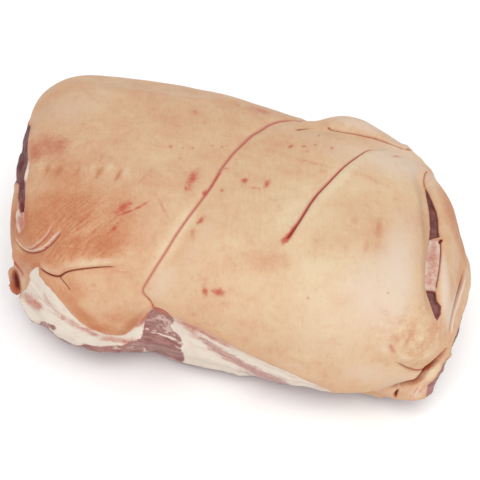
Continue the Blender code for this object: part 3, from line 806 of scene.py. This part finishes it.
def washed(areas):
    """How strongly a colour that is laid on in soft areas shows at each skin point."""
    total = np.zeros(len(skin))
    for x, y, half_long, half_wide, turn, strength in areas:
        total += strength * hump(oval(x, y, half_long, half_wide, turn) / WASH_SPREAD)
    return total * in_sight


redness = np.full(len(skin), -1.0)
for x, y, half_long, half_wide, turn, strength in MARKS:
    beyond = oval(x, y, half_long, half_wide, turn)
    redness = np.maximum(redness, strength * (MARK_SPREAD - beyond))
redness = np.where(shows, redness, -1)

# The underside stays where it rests
lift *= ramp(skin[:, 2], 0, 3 * MM)
skin += normals * lift[:, None]
skin[:, 2] = np.maximum(skin[:, 2], 0)
joint.data.vertices.foreach_set("co", skin.astype(np.float32).ravel())
joint.data.update()


def keep(name, *columns):
    """Stores three numbers for each point of the skin, for the material to read."""
    layer = joint.data.attributes.new(name, "FLOAT_VECTOR", "POINT")
    layer.data.foreach_set("vector", np.stack(columns, 1).astype(np.float32).ravel())


keep("layers", rind / MM, lean / MM, washed(PINK_AREAS))
keep("line", line_across / MM, line_width / MM, line_dark)
keep("line_look", line_red, line_blush, lip_white_and_highlight)
keep("tint", washed(TAN_AREAS), washed(BLUSH_AREAS), washed(PALE_AND_HIGHLIGHT_AREAS))
keep("marks", redness, pucker / MM, washed(MILKY_AREAS))
keep("texture", washed(WRINKLED_AREAS), washed(BLOTCHED_AREAS), deep_lean)
# The depth numbers hold the painted shade of the folds and the lean's marbling
keep("depth", washed(PAINTED_SHADE_AREAS), washed(MARBLED_AREAS), np.zeros(len(skin)))
# The flesh's fibres run round the joint, so its pattern has a place round it, outwards and upwards
PATTERN_RADIUS = 0.1
around = np.arctan2(skin[:, 0], -skin[:, 1])
keep("flesh_place", around * PATTERN_RADIUS, np.hypot(skin[:, 0], skin[:, 1]), skin[:, 2])


class Value:
    """A number or colour that changes over a surface. Sums written with it add Math nodes."""

    tree = None

    def __init__(self, socket):
        self.socket = socket

    @classmethod
    def node(cls, kind, settings=None, inputs=None, output=0):
        made = cls.tree.nodes.new(kind)
        for name, setting in (settings or {}).items():
            setattr(made, name, setting)
        for name, value in (inputs or {}).items():
            cls.feed(made.inputs[name], value)
        return cls(made.outputs[output])

    @classmethod
    def feed(cls, socket, value):
        if isinstance(value, Value):
            cls.tree.links.new(value.socket, socket)
        else:
            socket.default_value = value

    @classmethod
    def math(cls, operation, *values):
        return cls.node("ShaderNodeMath", {"operation": operation}, dict(enumerate(values)))

    def __add__(self, other):
        return self.math("ADD", self, other)

    def __sub__(self, other):
        return self.math("SUBTRACT", self, other)

    def __rsub__(self, other):
        return self.math("SUBTRACT", other, self)

    def __mul__(self, other):
        return self.math("MULTIPLY", self, other)

    def __truediv__(self, other):
        return self.math("DIVIDE", self, other)

    __radd__ = __add__
    __rmul__ = __mul__

    def rise(self, low, high):
        """0 below low and 1 above high, with a smooth rise between."""
        return self.node(
            "ShaderNodeMapRange", {"interpolation_type": "SMOOTHSTEP"},
            {"Value": self, "From Min": low, "From Max": high})

    def size(self):
        return self.math("ABSOLUTE", self)


def mixed(share, first, second):
    """first where the share is 0 and second where it is 1."""
    return Value.node(
        "ShaderNodeMix", {"data_type": "RGBA", "clamp_factor": True},
        {0: share, 6: first, 7: second}, 2)


def grain(size, place, detail=3.0, roughness=0.5):
    """Soft noise from 0 to 1 with patches of the given size in metres."""
    return Value.node(
        "ShaderNodeTexNoise", {},
        {"Vector": place, "Scale": 1 / size, "Detail": detail, "Roughness": roughness})


def stretched(place, turn, size, detail=3.0):
    """Soft noise drawn out into streaks, with the streaks' size in metres along each turned axis."""
    turned = Value.node(
        "ShaderNodeMapping", {"vector_type": "TEXTURE"},
        {"Vector": place, "Rotation": turn, "Scale": size})
    return Value.node("ShaderNodeTexNoise", {}, {"Vector": turned, "Scale": 1.0, "Detail": detail})


# The studio's light falls brighter than 1 on the joint's top, so its colours are that much deeper
LIGHT_ON_TOP = 1.37


def colour(red, green, blue):
    """A colour as the photograph shows it, 0 to 255, as the surface's own colour."""
    return tuple(((c / 255 + 0.055) / 1.055) ** 2.4 / LIGHT_ON_TOP for c in (red, green, blue)) + (1,)


meat = bpy.data.materials.new("raw_pork")
meat.use_nodes = True
Value.tree = meat.node_tree
shader = meat.node_tree.nodes["Principled BSDF"]
place = Value.node("ShaderNodeTexCoord", output="Object")


def kept(name):
    """The three numbers that the skin keeps under a name."""
    vector = Value.node("ShaderNodeAttribute", {"attribute_name": name}, output="Vector")
    split = Value.tree.nodes.new("ShaderNodeSeparateXYZ")
    Value.feed(split.inputs[0], vector)
    return [Value(output) for output in split.outputs]


rind_mm, lean_mm, pink = kept("layers")
line_mm, line_half, line_darkness = kept("line")
line_redness, line_pinkness, rim_white_and_highlight = kept("line_look")
tan, blush, pale = kept("tint")
mark, pucker_mm, milky = kept("marks")
wrinkles, blotched, deep = kept("texture")
painted_shade, marbled = kept("depth")[:2]

patches = grain(0.038, place, 2) - 0.5
mottle = grain(0.015, place, 3, 0.55) - 0.5
blotch = grain(0.0055, place, 3, 0.6) - 0.5
fleck = grain(0.0022, place, 3, 0.65) - 0.5
pores = grain(0.0010, place, 2, 0.6) - 0.5

# The rind: warmth 0 is cream, 0.5 sand, 1 tan and 1.5 a deep tan
CREAM = colour(236, 211, 175)
SAND = colour(225, 183, 145)
TAN = colour(213, 152, 112)
DEEP_TAN = colour(200, 126, 86)
MILK = colour(235, 213, 192)
BLUSH = colour(204, 126, 97)
SCUFF = colour(202, 92, 72)
# The pale lips of folds, partly a painted highlight
PALE_RIM_AND_HIGHLIGHT = colour(240, 222, 206)
# Colours of painted shade in the bottoms of folds, where it is weak and where it is strong
FOLD_PAINTED_SHADE = colour(182, 92, 60)
FOLD_PAINTED_DARK_SHADE = colour(108, 32, 24)
wrinkle_lines = stretched(place, (0, 0, math.radians(52)), (0.020, 0.0016, 0.004), 2) - 0.5
brush_lines = stretched(place, (0, 0, math.radians(104)), (0.012, 0.0014, 0.004), 2) - 0.5
roughness_of_skin = 0.45 + tan * 0.5 + wrinkles * 0.8 + blotched
dots = pores * 1.1 + fleck * 0.9
# Dents in the rind are painted warmer and darker as painted shade, and ridges paler as painted highlight
warmth = 0.5 + tan.rise(0, 1.6) * 0.95 - pale * 0.8 - pucker_mm * 0.4 + (0 - pucker_mm).rise(0, 0.9) * 0.2
warmth = warmth + patches * 0.5 + mottle * 0.6 + blotch * (0.3 + blotched * 1.4)
warmth = warmth + dots * roughness_of_skin * 0.5 + (1 - rind_mm / 4).rise(0, 1) * (0.1 + tan * 0.5)
warmth = warmth + wrinkle_lines * wrinkles * 1.5 + brush_lines * 0.25
rind_colour = mixed(warmth * 2, CREAM, SAND)
rind_colour = mixed(warmth * 2 - 1, rind_colour, TAN)
rind_colour = mixed(warmth * 2 - 2, rind_colour, DEEP_TAN)
rind_colour = mixed((milky + mottle * 0.6 + dots * 0.2).rise(0, 1.2) * 0.9, rind_colour, MILK)
rind_colour = mixed((blush + blotch * 1.2 + dots * 0.5).rise(0.0, 1.5), rind_colour, BLUSH)
# Lips of folds are painted pale, partly as a painted highlight where they catch light
rind_colour = mixed(rim_white_and_highlight, rind_colour, PALE_RIM_AND_HIGHLIGHT)

# Fat is white with pink streaks, lean is mauve with fine fibres, and both run round the joint
flesh_place = Value.node("ShaderNodeAttribute", {"attribute_name": "flesh_place"}, output="Vector")
streaks = stretched(flesh_place, (0, math.radians(12), 0), (0.018, 0.010, 0.0026), 4) - 0.5
fibres = stretched(flesh_place, (0, math.radians(16), 0), (0.020, 0.004, 0.0013), 3) - 0.5
FAT = colour(243, 230, 213)
FAT_PINK = colour(226, 190, 172)
FAT_RED = colour(203, 124, 106)
fat_colour = mixed((streaks * 0.8 + blotch * 0.6 + pink * 0.45).rise(-0.05, 0.45), FAT, FAT_PINK)
specks = blotch * 0.9 + streaks * 0.5 + fleck * (0.9 + pink * 0.7)
fat_colour = mixed((pink * 0.8 + specks).rise(0.35, 1.3) * 0.9, fat_colour, FAT_RED)
LEAN = colour(178, 131, 122)
LEAN_SHADE = colour(150, 100, 96)
LEAN_PALE = colour(208, 162, 150)
DEEP_LEAN = colour(134, 80, 76)
DEEP_SHADE = colour(102, 52, 50)
LEAN_RED = colour(168, 66, 56)
MARBLING = colour(228, 196, 182)
lean_colour = mixed((fibres + blotch * 0.5).rise(-0.12, 0.14), LEAN, LEAN_SHADE)
lean_colour = mixed((0 - deep) * 0.7, lean_colour, LEAN_PALE)
deep_colour = mixed((mottle + blotch * 0.6 + fibres * 0.5).rise(-0.16, 0.16), DEEP_LEAN, DEEP_SHADE)
marbling = streaks * 0.7 + fibres * 0.5 + mottle * 0.5 + marbled * 0.17
marbling = (marbling + (blotch * 1.7 + fleck * 1.3) * marbled).rise(0.02, 0.40)
lean_colour = mixed(marbling * (1 - deep) * 0.85, lean_colour, MARBLING)
lean_colour = mixed(deep, lean_colour, deep_colour)
red_rim = (1 - (lean_mm - 0.2).size() / 0.8).rise(0, 1) * 0.35
lean_colour = mixed(red_rim * (1 + deep), lean_colour, LEAN_RED)

# Lean ends raggedly in the fat, and the rind in a thin pinkish cut edge
CUT_EDGE = colour(200, 134, 112)
ragged = (1 - deep) * (streaks * 2.6 + fleck * 1.8) + blotch * 0.8
faded = (0 - deep).rise(0, 1)
on_lean = (lean_mm + ragged).rise(-0.45 - faded * 1.1, 0.45 + faded * 1.1)
flesh_colour = mixed(on_lean, fat_colour, lean_colour)
on_rind = (rind_mm + blotch * 0.8 + fleck * 0.3).rise(-0.25, 0.3)
surface = mixed(on_rind, flesh_colour, rind_colour)
cut_line = (1 - rind_mm.size() / 1.0).rise(0, 1) * (0.4 + blotch)
surface = mixed(cut_line * 0.5, surface, CUT_EDGE)

# Faint pink round the scuffs, soft colour beside the lines, the scuffs, and dark bottoms of folds.
# The folds' dark bottoms and much of the colour beside them are painted shade.
LINE_TAN = colour(196, 136, 100)
LINE_PINK = colour(214, 142, 124)
LINE_BROWN = colour(106, 42, 26)
LINE_RED = colour(170, 44, 34)
surface = mixed((mark + mottle * 0.8).rise(-0.6, 0.9) * 0.28, surface, BLUSH)
line_near = (1 - line_mm.size() / line_half).rise(0.0, 0.8) * line_darkness
line_soft = (1 - line_mm.size() / (line_half * 2.6)).rise(0, 0.9) * line_pinkness
surface = mixed(line_soft, surface, mixed(line_redness, LINE_TAN, LINE_PINK))
surface = mixed((mark + blotch * 0.9 + fleck * 1.2 + pores * 0.5).rise(0.0, 1.1) * 0.85, surface, SCUFF)
# Painted shade in the folds: orange-brown where weak, dark red-brown where strong
surface = mixed((painted_shade + blotch * 0.4).rise(0, 1.0), surface, FOLD_PAINTED_SHADE)
surface = mixed((painted_shade + blotch * 0.4).rise(0.8, 1.8), surface, FOLD_PAINTED_DARK_SHADE)
# The lines' cores: the slit's red and the creases' colour, and painted shade in the deep folds
surface = mixed(line_near, surface, mixed(line_redness, LINE_BROWN, LINE_RED))

# Bare flesh is wet and a little shinier than the rind, but not deep in the gaps and cut faces
RIND_ROUGHNESS = 0.50
WET_SHINE = 0.16
RELIEF_HEIGHT = 0.8 * MM
Value.feed(shader.inputs["Base Color"], surface)
wet = 1 - on_rind
roughness = RIND_ROUGHNESS - WET_SHINE * wet + WET_SHINE * wet * deep + fleck * 0.12
Value.feed(shader.inputs["Roughness"], roughness)
rind_relief = (0.4 * pores + 0.5 * fleck) * roughness_of_skin
rind_relief = rind_relief + 0.5 * blotch + wrinkle_lines * wrinkles * 1.6
flesh_relief = 0.9 * streaks + 0.5 * fibres + 0.5 * fleck
relief = rind_relief * on_rind + flesh_relief * wet
bump = Value.node("ShaderNodeBump", {}, {"Height": relief, "Distance": RELIEF_HEIGHT, "Strength": 0.35})
Value.feed(shader.inputs["Normal"], bump)
shader.inputs["Subsurface Weight"].default_value = 0.18
shader.inputs["Subsurface Radius"].default_value = (1.0, 0.5, 0.35)
shader.inputs["Subsurface Scale"].default_value = 3 * MM
shader.inputs["IOR"].default_value = 1.38
shader.inputs["Specular IOR Level"].default_value = 0.25

joint.data.materials.clear()
joint.data.materials.append(meat)
bpy.ops.object.select_all(action="DESELECT")
joint.select_set(True)
bpy.ops.object.shade_smooth()
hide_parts("picnic_shoulder")
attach(joint, "root")


# The studio: a wide sheet of pale matt paper on the floor, a large soft light above and in front, a
# weak one low in front to fill the shadows, and even white light from all round.
FLOOR_SIZE = 6
PAPER_WHITE = (0.94, 0.94, 0.94, 1)
bpy.ops.object.select_all(action="DESELECT")
bpy.ops.mesh.primitive_plane_add(size=FLOOR_SIZE, location=(0, 0, 0))
floor = bpy.context.object
floor.name = "floor"
paper = bpy.data.materials.new("pale_floor")
paper.use_nodes = True
paper_shader = paper.node_tree.nodes["Principled BSDF"]
paper_shader.inputs["Base Color"].default_value = PAPER_WHITE
paper_shader.inputs["Roughness"].default_value = 0.9
floor.data.materials.append(paper)

JOINT_MIDDLE = Vector((0, 0, 0.05))


def soft_light(name, place, size, power):
    """A square lamp at a place, with its side in metres and its power in watts, aimed at the joint."""
    bpy.ops.object.light_add(type="AREA", location=place)
    lamp = bpy.context.object
    lamp.name = name
    lamp.data.size = size
    lamp.data.energy = power
    lamp.rotation_euler = (JOINT_MIDDLE - Vector(place)).to_track_quat("-Z", "Y").to_euler()


ROOM_LIGHT = 0.85
soft_light("key_light", place=(0.3, -0.7, 1.6), size=1.4, power=15)
soft_light("fill_light", place=(0.5, -1.3, 0.5), size=1.2, power=3.4)
world = bpy.data.worlds.new("studio")
bpy.context.scene.world = world
world.use_nodes = True
world.node_tree.nodes["Background"].inputs[0].default_value = (1, 1, 1, 1)
world.node_tree.nodes["Background"].inputs[1].default_value = ROOM_LIGHT
bpy.context.scene.view_settings.view_transform = "Standard"
